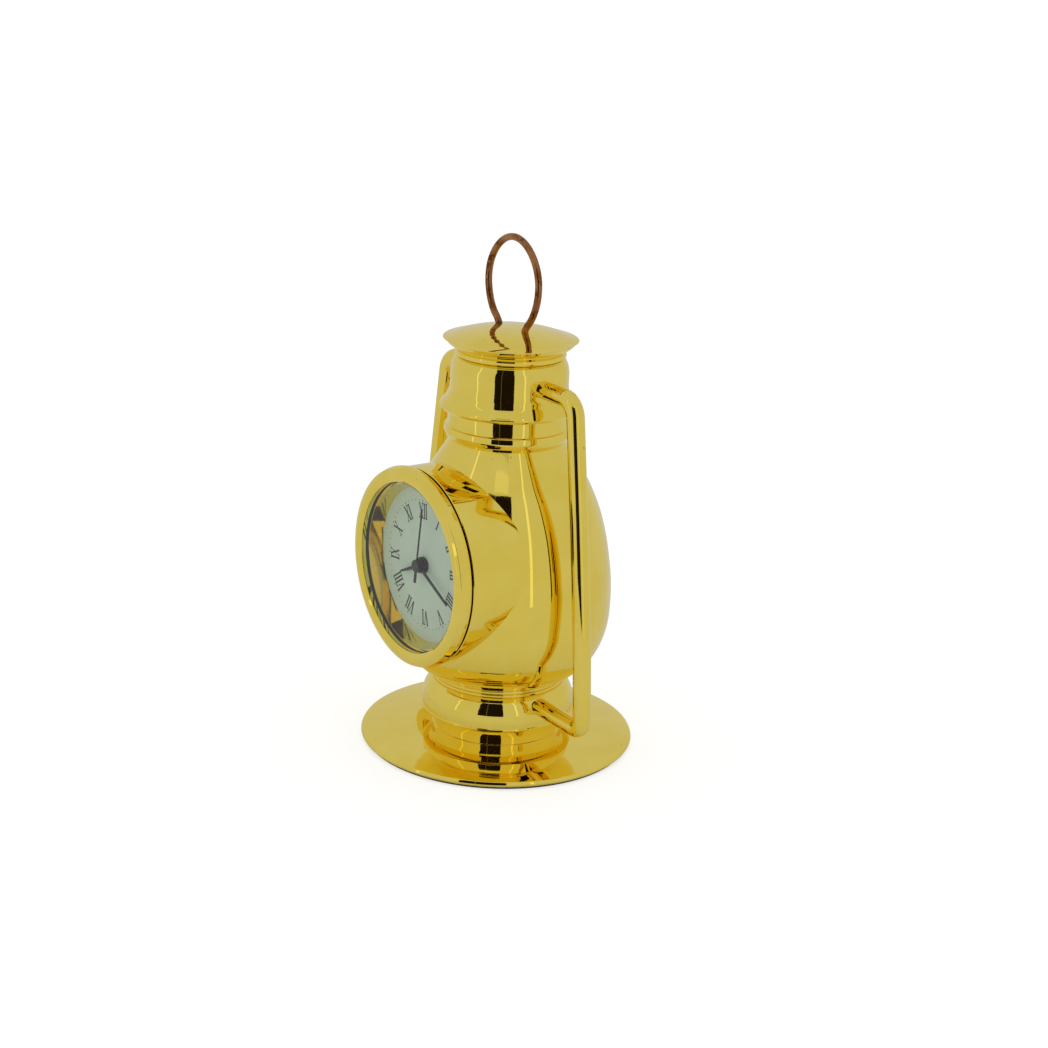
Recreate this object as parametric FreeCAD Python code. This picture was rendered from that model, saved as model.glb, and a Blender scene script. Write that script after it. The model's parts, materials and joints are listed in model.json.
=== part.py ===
import FreeCAD, Part
import os
import math

V = FreeCAD.Vector
os.makedirs("parts", exist_ok=True)

# Frame: millimetres, +Z up, origin at the centre of the felt's underside, dial faces -Y.
# Body of revolution, listed from the bottom up.
FELT_R = 21.3
FELT_T = 0.4
BASE_R = 22.0
BASE_EDGE_Z = 1.35
BASE_TOP_R = 10.4
BASE_TOP_Z = 2.4
FOOT_TOP_Z = 5.3
FOOT_R = 10.3
FOOT_TOP_R = 11.1
FOOT_WAIST = (10.38, 4.1)
TANK_BOTTOM_R = 11.8
TANK_RIM_R = 12.15
TANK_RIM_Z = 5.75
TANK_SHOULDER_Z = 8.4
TANK_TOP_R = 10.5
TANK_TOP_Z = 10.4
TANK_BORE_R = 9.6
TANK_ROOF = 1.3
TANK_WALL_R = 12.05
LOWER_COLLAR_TOP_Z = 11.6
COLLAR_BEAD_R = 10.35
COLLAR_BEADS = 2
BEAD_SWELL = 0.45
GLOBE_TOP_Z = 50.0
GLOBE_TOP_R = 9.0
GLOBE_FLOOR_Z = 13.1
GLOBE_OUTER = [(10.6, 11.6), (12.6, 12.65), (14.95, 14.95), (16.35, 17.5), (17.2, 20.6), (17.43, 24.0),
               (17.33, 27.5), (16.9, 31.0), (16.15, 35.0), (15.0, 39.0), (13.3, 42.9), (11.3, 46.3),
               (GLOBE_TOP_R, GLOBE_TOP_Z)]
GLOBE_INNER = [(10.8, GLOBE_FLOOR_Z), (13.3, 15.0), (15.0, 18.0), (15.9, 21.0), (16.1, 24.0), (16.0, 27.5),
               (15.6, 31.0), (14.8, 35.0), (13.6, 39.0), (11.9, 42.7), (9.9, 46.0), (7.7, GLOBE_TOP_Z)]
UPPER_COLLAR_R = 9.4
UPPER_COLLAR_SWELL_R = 9.95
UPPER_COLLAR_STEP_Z = 52.3
UPPER_COLLAR_FLOOR_Z = 51.2
UPPER_COLLAR_BORE_R = 7.2
UPPER_COLLAR_TOP_Z = 54.8
BAND_LIP_R = 10.45
BAND_LIP_Z = 55.75
BAND_FLARE_Z = 58.3
BAND_SHOULDER_Z = 61.0
BAND_TOP_R = 8.5
BAND_BORE_R = 7.9
BAND_TOP_Z = 63.1
NECK_BORE_R = 6.6
NECK_LOW_Z = 61.4
NECK_R = 8.2
NECK_TOP_R = 8.4
NECK_TOP_Z = 64.4
CAP_TOP_Z = 67.7
CAP_R = 10.1
CAP_LIP_Z = 65.65
CAP_EDGE_Z = 65.95
CAP_HOLLOW = 0.6
CAP_HOLLOW_R = 5.8

# Long screw that clamps the stack together.
TIE_R = 1.2
TIE_HOLE_R = 1.3
TIE_HEAD_R = 2.5
TIE_HEAD_Z = 0.55
TIE_HEAD_T = 1.0
TIE_SLOT_W = 0.5
TIE_TOP_Z = 59.0
WASHER_R = 2.9
WASHER_T = 0.3
RECESS_R = 3.2
NUT_FLATS = 4.4
NUT_T = 1.9
BAND_FLOOR_Z = 56.0

# Bent side tubes.
TUBE_R = 1.4
TENON_R = 0.9
TUBE_TOP_Z = 59.7
TUBE_BOTTOM_Z = 8.9
TUBE_TOP_BEND = 3.0
TUBE_BOTTOM_BEND = 1.7
TUBE_TOP_X = 17.25
TUBE_BOTTOM_X = 22.86
TUBE_LEAN_TOP = 7.8
TUBE_LEAN_LOW = 4.5
TENON_TOP_X = 8.2
TENON_BOTTOM_X = 10.6
BAND_WALL_R = 9.2
SOCKET_L = 4.0
SOCKET_SLACK = 1.0
TUBE_SINK = 0.4
TUBE_MIDDLE = [(19.4, 41.7), (21.75, 23.0)]
TUBE_TANGENT = 20.0

# Wire bail.
WIRE_R = 0.55
BAIL_R = 7.1
BAIL_Z = 74.25
BAIL_SWEEP = 40.0
BAIL_FOOT_X = 3.5
BAIL_FOOT_Z = 66.2
BAIL_HOLE_Z = 66.0
BAIL_BEND_Z = 67.8

# Drum on the globe and the clock insert in it; all turn about this horizontal axis.
AXIS_Z = 31.46
DRUM_R = 15.5
DRUM_MOUTH_R = 15.05
DRUM_FRONT_Y = -15.8
DRUM_ROUND = 0.9
DRUM_BORE_R = 14.0
DRUM_BORE_END_Y = -3.0
DRUM_BACK_Y = -4.0
BEZEL_R = 15.78
BEZEL_MAX_Y = -17.3
BEZEL_BACK_Y = -16.2
LENS_OPENING_R = 13.34
LENS_EDGE_Y = -18.08
GLASS_R = 13.95
GLASS_FRONT_Y = -17.9
GLASS_BACK_Y = -17.0
CAN_OUT_R = 13.6
CAN_IN_R = 13.25
CAN_FRONT_Y = -16.75
CAN_BACK_Y = -4.0
COVER_T = 0.6
GRIP_R = 13.98
GRIP_RIB_R = 13.85
GRIP_FRONT_Y = -15.4
GRIP_BACK_Y = -11.8
GRIP_RIBS = 4
REHAUT_FRONT_R = 12.92
DIAL_SIGHT_R = 12.14
DIAL_R = 12.9
DIAL_FRONT_Y = -14.76
DIAL_T = 0.3
DIAL_TURN = -4.5
DIAL_HOLE_R = 1.25
DIAL_FOOT_RING = 12.1
DIAL_FOOT_R = 0.3
DIAL_FOOT_L = 0.9
PRINT_T = 0.05

# Dial print.
NUMERAL_RING_R = 8.55
NUMERAL_H = 2.3
STROKE = 0.28
THIN_STROKE = 0.14
SPREAD = 0.48
ADVANCE = {"I": 0.62, "V": 1.35, "X": 1.35}
DOT_RING_R = 10.15
DOT = 0.18
FIVE_DOT = 0.28

# Hands, showing 8:20:02.
HOUR_ANGLE = 250.0 + DIAL_TURN
MINUTE_ANGLE = 120.2 + DIAL_TURN
SECOND_ANGLE = 12.0 + DIAL_TURN
HOUR_L = 6.5
MINUTE_L = 9.1
SECOND_L = 9.6
SECOND_TAIL = 2.8
HOUR_W = 0.56
MINUTE_W = 0.46
SECOND_W = 0.22
HOUR_TIP_W = 0.32
MINUTE_TIP_W = 0.36
SECOND_TIP_W = 0.16
TAIL_W = 0.5
HAND_T = 0.2
HOUR_HUB_BACK = 0.2
HUB_BACK = 0.12
HOUR_Y = -15.2
MINUTE_Y = -15.65
SECOND_Y = -16.1
HOUR_HUB_R = 1.3
MINUTE_HUB_R = 1.15
SECOND_HUB_R = 1.0

# Movement.
HOLDER_OUT_R = 13.2
HOLDER_IN_R = 11.4
HOLDER_BACK_Y = -6.0
PLATE_FRONT_Y = -12.8
PLATE_BACK_Y = -12.2
PILLARS = [(7.0, 3.0), (-6.8, 4.6), (6.6, -3.4)]
PILLAR_R = 0.5
BRIDGE_R = 8.6
BRIDGE_FRONT_Y = -8.6
BRIDGE_BACK_Y = -8.2
BRIDGE_CUT_Z = -7.9
BOARD_R = 11.2
BOARD_FRONT_Y = -7.9
BOARD_BACK_Y = -7.5
CELL_R = 3.4
CELL_CAP_R = 2.7
CELL_STEP = 0.3
CELL_AT = (5.2, 5.0)
CONTACT_HALF_W = 0.8
CLIP_HALF_W = 1.0
CLIP_T = 0.25
CLIP_REACH = 6.2
CELL_FRONT_Y = -8.05
CELL_BACK_Y = -5.45
COIL_AT_Z = -9.3
COIL_R = 1.0
COIL_HALF = 3.4
CORE_HALF = 5.2
STATOR_FRONT_Y = -9.5
STATOR_BACK_Y = -8.95
ROTOR_HOLE_R = 1.5
MAGNET_R = 1.2
STATOR_HALF_W = 1.3
STATOR_BOSS_R = 2.4
CORE_HALF_W = 0.4
STATOR_LEG_W = 1.6
CHIP_AT = (-4.6, 3.6)
CHIP_R = 1.3
CHIP_T = 0.5
CRYSTAL_AT = (-7.2, -5.2)
CRYSTAL_R = 0.75
CRYSTAL_L = 4.6
CRYSTAL_PIN_R = 0.15
CRYSTAL_FOOT_R = 0.12
KNOB_R = 1.9
KNOB_FRONT_Y = -3.7
KNOB_BACK_Y = -2.4
KNOB_FLUTES = 20
KNOB_FLUTE_R = 0.12
STEM_END_Y = -3.0

# Arbors and running fits.
FIT = 0.04
PIVOT_R = 0.2
PIVOT_SHORT = 0.1
END_SHAKE = 0.3
POST_R = 0.3
SECOND_ARBOR_R = 0.26
CANNON_OUT_R = 0.58
HOUR_PIPE_OUT_R = 0.95
STEM_R = 0.4

# Gear train: teeth and centre distances.
ROTOR_TEETH = 8
MID_WHEEL_TEETH = 48
MID_PINION_TEETH = 10
SECOND_WHEEL_TEETH = 50
SECOND_PINION_TEETH = 8
THIRD_WHEEL_TEETH = 60
THIRD_PINION_TEETH = 8
CENTER_WHEEL_TEETH = 64
CANNON_TEETH = 12
MINUTE_WHEEL_TEETH = 36
MINUTE_PINION_TEETH = 10
HOUR_WHEEL_TEETH = 40
SETTING_TEETH = 12
THIRD_DIST = 5.1
THIRD_DIR = 90.0
MID_DIST = 5.1
MID_DIR = 210.0
ROTOR_DIST = 4.48
ROTOR_DIR = 300.0
MINUTE_DIST = 4.8
MINUTE_DIR = 330.0
SETTING_DIST = 4.8
GEAR_T = 0.3
HOUR_GEAR_Y = -14.1
MINUTE_GEAR_Y = -13.4
CENTER_GEAR_Y = -11.9
THIRD_GEAR_Y = -11.3
SECOND_GEAR_Y = -10.7
MID_GEAR_Y = -10.1


def rod(start, end, radius):
    return Part.makeCylinder(radius, (end - start).Length, start, end - start)


def lathe(points, rounds=()):
    """Solid turned about Z from an (r, z) outline; rounds lists (index, via point) arcs."""
    vias = dict(rounds)
    edges = []
    for i, point in enumerate(points):
        start = V(point[0], 0, point[1])
        nxt = points[(i + 1) % len(points)]
        end = V(nxt[0], 0, nxt[1])
        if i in vias:
            middle = V(vias[i][0], 0, vias[i][1])
            edges.append(Part.Arc(start, middle, end).toShape())
        else:
            edges.append(Part.makeLine(start, end))
    face = Part.Face(Part.Wire(edges))
    return face.revolve(V(0, 0, 0), V(0, 0, 1), 360)


def curve_lathe(curve, closing):
    """Solid turned about Z from a smooth (r, z) curve closed by straight lines."""
    spline = Part.BSplineCurve()
    spline.interpolate([V(r, 0, z) for r, z in curve])
    corners = [curve[-1]] + closing + [curve[0]]
    edges = [spline.toShape()]
    for a, b in zip(corners, corners[1:]):
        edges.append(Part.makeLine(V(a[0], 0, a[1]), V(b[0], 0, b[1])))
    return Part.Face(Part.Wire(edges)).revolve(V(0, 0, 0), V(0, 0, 1), 360)


def disc(r, z0, z1, x=0.0, y=0.0):
    """Upright cylinder from z0 to z1."""
    return Part.makeCylinder(r, z1 - z0, V(x, y, z0), V(0, 0, 1))


def ring(r_out, r_in, z0, z1):
    return disc(r_out, z0, z1).cut(disc(r_in, z0 - 1, z1 + 1))


def face_disc(r, y0, y1, x=0.0, z=0.0):
    """Cylinder along Y, placed from the dial axis."""
    return Part.makeCylinder(r, y1 - y0, V(x, y0, AXIS_Z + z), V(0, 1, 0))


def face_ring(r_out, r_in, y0, y1, x=0.0, z=0.0):
    return face_disc(r_out, y0, y1, x, z).cut(face_disc(r_in, y0 - 1, y1 + 1, x, z))


def face_lathe(points, rounds=()):
    """Turned solid about the dial axis from an (r, y) outline."""
    solid = lathe(points, rounds)
    solid.rotate(V(0, 0, 0), V(1, 0, 0), -90)
    solid.translate(V(0, 0, AXIS_Z))
    return solid


def face_box(x0, x1, z0, z1, y0, y1):
    return Part.makeBox(x1 - x0, y1 - y0, z1 - z0, V(x0, y0, AXIS_Z + z0))


def clock_turn(solid, degrees):
    """Turn a solid clockwise as seen from the front."""
    solid.rotate(V(0, 0, AXIS_Z), V(0, 1, 0), degrees)
    return solid


def polar(dist, degrees):
    a = math.radians(degrees)
    return (dist * math.cos(a), dist * math.sin(a))


def gear(teeth, module, at, phase, y0, y1):
    """Spur gear along Y: straight flanks, one tooth at angle phase (counter-clockwise from +X)."""
    pitch_r = teeth * module / 2.0
    root_r = pitch_r - 1.2 * module
    tip_r = pitch_r + 0.9 * module
    pitch = 2.0 * math.pi / teeth
    outline = []
    for i in range(teeth):
        mid = math.radians(phase) + i * pitch
        for radius, share in ((root_r, -0.27), (pitch_r, -0.19), (tip_r, -0.08),
                              (tip_r, 0.08), (pitch_r, 0.19), (root_r, 0.27)):
            a = mid + share * pitch
            outline.append(V(at[0] + radius * math.cos(a), y0, AXIS_Z + at[1] + radius * math.sin(a)))
    outline.append(outline[0])
    return Part.Face(Part.makePolygon(outline)).extrude(V(0, y1 - y0, 0))


def mate_phase(teeth, direction, driver_teeth, driver_phase):
    """Phase that puts a gear's gap where the driver has a tooth, along the line of centres."""
    driver_pitch = 360.0 / driver_teeth
    share = ((direction - driver_phase) / driver_pitch) % 1.0
    return direction + 180.0 + (0.5 + share) * 360.0 / teeth


def save(name, solid):
    solid.removeSplitter().exportStep("parts/" + name + ".step")


def felt_pad():
    return disc(FELT_R, 0, FELT_T)


def base_plate():
    outline = [(0, FELT_T), (BASE_R - 0.5, FELT_T), (BASE_R - 0.25, BASE_EDGE_Z),
               (BASE_TOP_R + 4.5, BASE_TOP_Z - 0.4), (BASE_TOP_R, BASE_TOP_Z), (0, BASE_TOP_Z)]
    solid = lathe(outline, [(1, (BASE_R, 0.85)), (3, (BASE_TOP_R + 2.2, BASE_TOP_Z - 0.24))])
    recess = disc(RECESS_R, FELT_T - 1, TIE_HEAD_Z + TIE_HEAD_T + WASHER_T)
    return solid.cut(recess).cut(disc(TIE_HOLE_R, 0, BASE_TOP_Z + 1))


def foot_ring():
    outline = [(TIE_HOLE_R, BASE_TOP_Z), (FOOT_R, BASE_TOP_Z), (FOOT_TOP_R, FOOT_TOP_Z),
               (TIE_HOLE_R, FOOT_TOP_Z)]
    return lathe(outline, [(1, FOOT_WAIST)])


def tube_socket(side, start_x, z):
    """Level hole for a side tube's tenon, from start_x outwards."""
    return rod(V(side * start_x, 0, z), V(side * (start_x + SOCKET_L), 0, z), TENON_R)


def tank():
    roof_z = TANK_TOP_Z - TANK_ROOF
    outline = [(TANK_BORE_R, FOOT_TOP_Z), (TANK_BOTTOM_R, FOOT_TOP_Z), (TANK_RIM_R, TANK_RIM_Z),
               (TANK_WALL_R, TANK_SHOULDER_Z), (TANK_TOP_R, TANK_TOP_Z), (TIE_HOLE_R, TANK_TOP_Z),
               (TIE_HOLE_R, roof_z), (TANK_BORE_R, roof_z)]
    solid = lathe(outline, [(1, (12.08, 5.42)), (2, (12.22, 7.0)), (3, (11.56, 9.6))])
    for side in (-1, 1):
        solid = solid.cut(tube_socket(side, TENON_BOTTOM_X, TUBE_BOTTOM_Z))
    return solid


def lower_collar():
    bead = (LOWER_COLLAR_TOP_Z - TANK_TOP_Z) / COLLAR_BEADS
    outline = [(TIE_HOLE_R, TANK_TOP_Z), (COLLAR_BEAD_R, TANK_TOP_Z)]
    rounds = []
    for i in range(COLLAR_BEADS):
        z = TANK_TOP_Z + (i + 1) * bead
        rounds.append((1 + i, (COLLAR_BEAD_R + BEAD_SWELL * bead, z - bead / 2.0)))
        outline.append((COLLAR_BEAD_R, z))
    outline.append((TIE_HOLE_R, LOWER_COLLAR_TOP_Z))
    return lathe(outline, rounds)


def globe_body():
    outer = curve_lathe(GLOBE_OUTER, [(0, GLOBE_TOP_Z), (0, LOWER_COLLAR_TOP_Z)])
    mouth_r = GLOBE_INNER[-1][0]
    cavity = curve_lathe(GLOBE_INNER, [(mouth_r, GLOBE_TOP_Z + 1), (0, GLOBE_TOP_Z + 1), (0, GLOBE_FLOOR_Z)])
    shoulder = (DRUM_R - 0.1, DRUM_FRONT_Y + 0.35)
    drum = face_lathe([(0, DRUM_FRONT_Y), (DRUM_MOUTH_R, DRUM_FRONT_Y), (DRUM_R, DRUM_FRONT_Y + DRUM_ROUND),
                       (DRUM_R, DRUM_BACK_Y), (0, DRUM_BACK_Y)], [(1, shoulder)])
    solid = outer.fuse(drum).cut(cavity)
    solid = solid.cut(face_disc(DRUM_R + 1, DRUM_FRONT_Y - 3, DRUM_FRONT_Y))
    solid = solid.cut(face_disc(DRUM_BORE_R, DRUM_FRONT_Y - 1, DRUM_BORE_END_Y))
    return solid.cut(disc(TIE_HOLE_R, LOWER_COLLAR_TOP_Z - 1, GLOBE_FLOOR_Z + 1))


def upper_collar():
    outline = [(TIE_HOLE_R, GLOBE_TOP_Z), (GLOBE_TOP_R, GLOBE_TOP_Z), (9.75, UPPER_COLLAR_STEP_Z),
               (9.45, UPPER_COLLAR_STEP_Z + 0.3), (UPPER_COLLAR_R, UPPER_COLLAR_TOP_Z),
               (UPPER_COLLAR_BORE_R, UPPER_COLLAR_TOP_Z), (UPPER_COLLAR_BORE_R, UPPER_COLLAR_FLOOR_Z),
               (TIE_HOLE_R, UPPER_COLLAR_FLOOR_Z)]
    return lathe(outline, [(1, (UPPER_COLLAR_SWELL_R, 51.2))])


def chimney_band():
    outline = [(TIE_HOLE_R, UPPER_COLLAR_TOP_Z), (BAND_LIP_R, UPPER_COLLAR_TOP_Z), (10.5, BAND_LIP_Z),
               (BAND_WALL_R, BAND_FLARE_Z), (BAND_WALL_R, BAND_SHOULDER_Z), (BAND_TOP_R, BAND_TOP_Z),
               (BAND_BORE_R, BAND_TOP_Z), (BAND_BORE_R, BAND_FLOOR_Z), (TIE_HOLE_R, BAND_FLOOR_Z)]
    solid = lathe(outline, [(1, (10.74, 55.25)), (2, (9.6, 56.9)), (4, (9.0, 62.1))])
    for side in (-1, 1):
        solid = solid.cut(tube_socket(side, TENON_TOP_X - SOCKET_SLACK, TUBE_TOP_Z))
    return solid


def neck():
    outline = [(NECK_BORE_R, NECK_LOW_Z), (BAND_BORE_R, NECK_LOW_Z), (BAND_BORE_R, BAND_TOP_Z),
               (NECK_R, BAND_TOP_Z), (NECK_TOP_R, NECK_TOP_Z), (NECK_BORE_R, NECK_TOP_Z)]
    return lathe(outline, [(3, (8.62, 63.75))])


def cap():
    edge_r = CAP_R - 0.1
    outline = [(0, NECK_TOP_Z + CAP_HOLLOW), (CAP_HOLLOW_R, NECK_TOP_Z + CAP_HOLLOW),
               (NECK_BORE_R, NECK_TOP_Z), (NECK_TOP_R, NECK_TOP_Z), (CAP_R, CAP_LIP_Z),
               (edge_r, CAP_EDGE_Z), (0, CAP_TOP_Z)]
    rise = CAP_TOP_Z - CAP_EDGE_Z
    dome_r = (edge_r ** 2 + rise ** 2) / (2.0 * rise)
    dome_z = CAP_TOP_Z - dome_r + math.sqrt(dome_r ** 2 - edge_r ** 2 / 4.0)
    rounds = [(3, (9.5, 64.9)), (4, (CAP_R + 0.1, 65.83)), (5, (edge_r / 2.0, dome_z))]
    solid = lathe(outline, rounds)
    for side in (-1, 1):
        solid = solid.cut(disc(WIRE_R, BAIL_HOLE_Z, CAP_TOP_Z + 1, side * BAIL_FOOT_X))
    return solid


def bail_ring():
    sweep = math.radians(BAIL_SWEEP)
    section = Part.Face(Part.Wire(Part.makeCircle(WIRE_R, V(BAIL_R, 0, BAIL_Z), V(0, 0, 1))))
    loop = section.revolve(V(0, 0, BAIL_Z), V(0, -1, 0), 180.0 + 2.0 * BAIL_SWEEP)
    loop.rotate(V(0, 0, BAIL_Z), V(0, -1, 0), -BAIL_SWEEP)
    solid = loop
    for side in (1, -1):
        shoulder = V(side * BAIL_R * math.cos(sweep), 0, BAIL_Z - BAIL_R * math.sin(sweep))
        bend = V(side * BAIL_FOOT_X, 0, BAIL_BEND_Z)
        foot = V(side * BAIL_FOOT_X, 0, BAIL_FOOT_Z)
        leg = rod(foot, bend, WIRE_R).fuse(rod(bend, shoulder, WIRE_R)).fuse(Part.makeSphere(WIRE_R, bend))
        solid = solid.fuse(leg)
    return solid


def side_tube(side):
    top_turn = math.radians(90.0 - TUBE_LEAN_TOP)
    low_lean = math.radians(TUBE_LEAN_LOW)
    top_centre = V(TUBE_TOP_X - TUBE_TOP_BEND, 0, TUBE_TOP_Z - TUBE_TOP_BEND)
    low_centre = V(TUBE_BOTTOM_X - TUBE_BOTTOM_BEND, 0, TUBE_BOTTOM_Z + TUBE_BOTTOM_BEND)

    def on_arc(centre, radius, angle):
        return centre + V(radius * math.sin(angle), 0, radius * math.cos(angle))

    top_in = V(BAND_WALL_R - TUBE_SINK, 0, TUBE_TOP_Z)
    top_start = on_arc(top_centre, TUBE_TOP_BEND, 0)
    top_end = on_arc(top_centre, TUBE_TOP_BEND, top_turn)
    low_start = on_arc(low_centre, TUBE_BOTTOM_BEND, math.pi / 2.0 - low_lean)
    low_end = on_arc(low_centre, TUBE_BOTTOM_BEND, math.pi)
    low_in = V(TANK_WALL_R - TUBE_SINK, 0, TUBE_BOTTOM_Z)
    upper = Part.Arc(top_start, on_arc(top_centre, TUBE_TOP_BEND, top_turn / 2.0), top_end)
    lower = Part.Arc(low_start, on_arc(low_centre, TUBE_BOTTOM_BEND, math.pi * 0.75), low_end)
    leg = Part.BSplineCurve()
    leg.interpolate(Points=[top_end] + [V(x, 0, z) for x, z in TUBE_MIDDLE] + [low_start],
                    InitialTangent=V(math.cos(top_turn), 0, -math.sin(top_turn)) * TUBE_TANGENT,
                    FinalTangent=V(math.sin(low_lean), 0, -math.cos(low_lean)) * TUBE_TANGENT)
    path = Part.Wire([Part.makeLine(top_in, top_start), upper.toShape(), leg.toShape(), lower.toShape(),
                      Part.makeLine(low_end, low_in)])
    section = Part.Wire(Part.makeCircle(TUBE_R, top_in, V(1, 0, 0)))
    bar = path.makePipeShell([section], True, False)
    bar = bar.cut(chimney_band()).cut(tank())
    bar = bar.fuse(rod(V(TENON_TOP_X, 0, TUBE_TOP_Z), V(BAND_WALL_R + 1, 0, TUBE_TOP_Z), TENON_R))
    bar = bar.fuse(rod(V(TENON_BOTTOM_X, 0, TUBE_BOTTOM_Z), V(TANK_WALL_R + 1, 0, TUBE_BOTTOM_Z), TENON_R))
    if side < 0:
        bar.rotate(V(0, 0, 0), V(0, 0, 1), 180)
    return bar


def tie_screw():
    head = disc(TIE_HEAD_R, TIE_HEAD_Z, TIE_HEAD_Z + TIE_HEAD_T)
    slot = Part.makeBox(2 * TIE_HEAD_R, TIE_SLOT_W, TIE_SLOT_W, V(-TIE_HEAD_R, -TIE_SLOT_W / 2.0, TIE_HEAD_Z))
    return head.fuse(disc(TIE_R, TIE_HEAD_Z + TIE_HEAD_T, TIE_TOP_Z)).cut(slot)


def tie_washers():
    low = TIE_HEAD_Z + TIE_HEAD_T
    return Part.makeCompound([ring(WASHER_R, TIE_HOLE_R, low, low + WASHER_T),
                              ring(WASHER_R, TIE_HOLE_R, BAND_FLOOR_Z, BAND_FLOOR_Z + WASHER_T)])


def tie_nut():
    z = BAND_FLOOR_Z + WASHER_T
    corners = [V(*polar(NUT_FLATS / math.sqrt(3), 60 * i), z) for i in range(7)]
    return Part.Face(Part.makePolygon(corners)).extrude(V(0, 0, NUT_T)).cut(disc(TIE_R, z - 1, z + NUT_T + 1))


def bezel():
    outline = [(LENS_OPENING_R, LENS_EDGE_Y), (14.9, -18.35), (BEZEL_R, BEZEL_MAX_Y), (14.6, -16.55),
               (14.4, BEZEL_BACK_Y), (CAN_OUT_R, BEZEL_BACK_Y), (CAN_OUT_R, CAN_FRONT_Y),
               (GLASS_R, CAN_FRONT_Y), (GLASS_R, GLASS_FRONT_Y), (LENS_OPENING_R, GLASS_FRONT_Y)]
    return face_lathe(outline, [(0, (14.1, -18.42)), (1, (15.55, -17.98)), (2, (15.4, -16.82))])


def glass():
    return face_disc(GLASS_R, GLASS_FRONT_Y, GLASS_BACK_Y)


def glass_gasket():
    return face_ring(GLASS_R, CAN_IN_R, GLASS_BACK_Y, CAN_FRONT_Y)


def insert_can():
    return face_ring(CAN_OUT_R, CAN_IN_R, CAN_FRONT_Y, CAN_BACK_Y)


def back_cover(stem_at):
    cover = face_disc(CAN_IN_R, CAN_BACK_Y - COVER_T, CAN_BACK_Y)
    return cover.cut(face_disc(STEM_R + FIT, -9, 0, stem_at[0], stem_at[1]))


def grip_band():
    pitch = (GRIP_BACK_Y - GRIP_FRONT_Y) / GRIP_RIBS
    solid = face_ring(GRIP_RIB_R, CAN_OUT_R, GRIP_FRONT_Y, GRIP_BACK_Y)
    for i in range(GRIP_RIBS):
        y = GRIP_FRONT_Y + i * pitch
        solid = solid.fuse(face_ring(GRIP_R, CAN_OUT_R, y, y + pitch / 2.0))
    return solid


def rehaut():
    back = DIAL_FRONT_Y
    outline = [(REHAUT_FRONT_R, GLASS_BACK_Y), (HOLDER_OUT_R, GLASS_BACK_Y), (HOLDER_OUT_R, back),
               (DIAL_SIGHT_R, back)]
    return face_lathe(outline)


def dial():
    solid = face_disc(DIAL_R, DIAL_FRONT_Y, DIAL_FRONT_Y + DIAL_T)
    solid = solid.cut(face_disc(DIAL_HOLE_R, DIAL_FRONT_Y - 1, DIAL_FRONT_Y + 1))
    for side in (-1, 1):
        back = DIAL_FRONT_Y + DIAL_T
        solid = solid.fuse(face_disc(DIAL_FOOT_R, back, back + DIAL_FOOT_L, side * DIAL_FOOT_RING))
    return clock_turn(solid, DIAL_TURN)


def stroke_bar(x0, x1, width):
    """Slanted or upright bar of a Roman numeral, from (x0, bottom) to (x1, top)."""
    low = AXIS_Z - NUMERAL_H / 2.0
    high = AXIS_Z + NUMERAL_H / 2.0
    y = DIAL_FRONT_Y - PRINT_T
    half = width / 2.0
    corners = [V(x0 - half, y, low), V(x0 + half, y, low), V(x1 + half, y, high), V(x1 - half, y, high),
               V(x0 - half, y, low)]
    return Part.Face(Part.makePolygon(corners)).extrude(V(0, PRINT_T, 0))


def numeral(text):
    """Strokes of one Roman numeral, side by side and centred."""
    x = -sum(ADVANCE[c] for c in text) / 2.0
    bars = []
    for c in text:
        mid = x + ADVANCE[c] / 2.0
        if c == "I":
            bars.append(stroke_bar(mid, mid, STROKE))
        if c == "V":
            bars.append(stroke_bar(mid, mid - SPREAD, STROKE))
            bars.append(stroke_bar(mid, mid + SPREAD, THIN_STROKE))
        if c == "X":
            bars.append(stroke_bar(mid + SPREAD, mid - SPREAD, STROKE))
            bars.append(stroke_bar(mid - SPREAD, mid + SPREAD, THIN_STROKE))
        x += ADVANCE[c]
    return bars


def dial_print():
    names = ["XII", "I", "II", "III", "IIII", "V", "VI", "VII", "VIII", "IX", "X", "XI"]
    marks = []
    for hour, text in enumerate(names):
        for bar in numeral(text):
            bar.translate(V(0, 0, NUMERAL_RING_R))
            marks.append(clock_turn(bar, hour * 30.0))
    for minute in range(60):
        half = (FIVE_DOT if minute % 5 == 0 else DOT) / 2.0
        low = DOT_RING_R - half
        dot = face_box(-half, half, low, low + 2.0 * half, DIAL_FRONT_Y - PRINT_T, DIAL_FRONT_Y)
        marks.append(clock_turn(dot, minute * 6.0))
    solid = marks[0].multiFuse(marks[1:])
    return clock_turn(solid, DIAL_TURN)


def hand(length, width, tip, y, hub_back, angle):
    """Flat tapered blade pointing to clock angle; y is its back face."""
    front = y - HAND_T
    corners = [V(-width / 2.0, front, 0), V(width / 2.0, front, 0), V(tip / 2.0, front, length),
               V(-tip / 2.0, front, length), V(-width / 2.0, front, 0)]
    blade = Part.Face(Part.makePolygon(corners)).extrude(V(0, HAND_T, 0))
    blade.translate(V(0, 0, AXIS_Z))
    return clock_turn(blade.fuse(face_disc(hub_back[0], front, y + hub_back[1])), angle)


def hour_hand():
    solid = hand(HOUR_L, HOUR_W, HOUR_TIP_W, HOUR_Y, (HOUR_HUB_R, HOUR_HUB_BACK), HOUR_ANGLE)
    return solid.cut(face_disc(HOUR_PIPE_OUT_R, -17, -14))


def minute_hand():
    solid = hand(MINUTE_L, MINUTE_W, MINUTE_TIP_W, MINUTE_Y, (MINUTE_HUB_R, HUB_BACK), MINUTE_ANGLE)
    return solid.cut(face_disc(CANNON_OUT_R, -17, -14))


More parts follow.
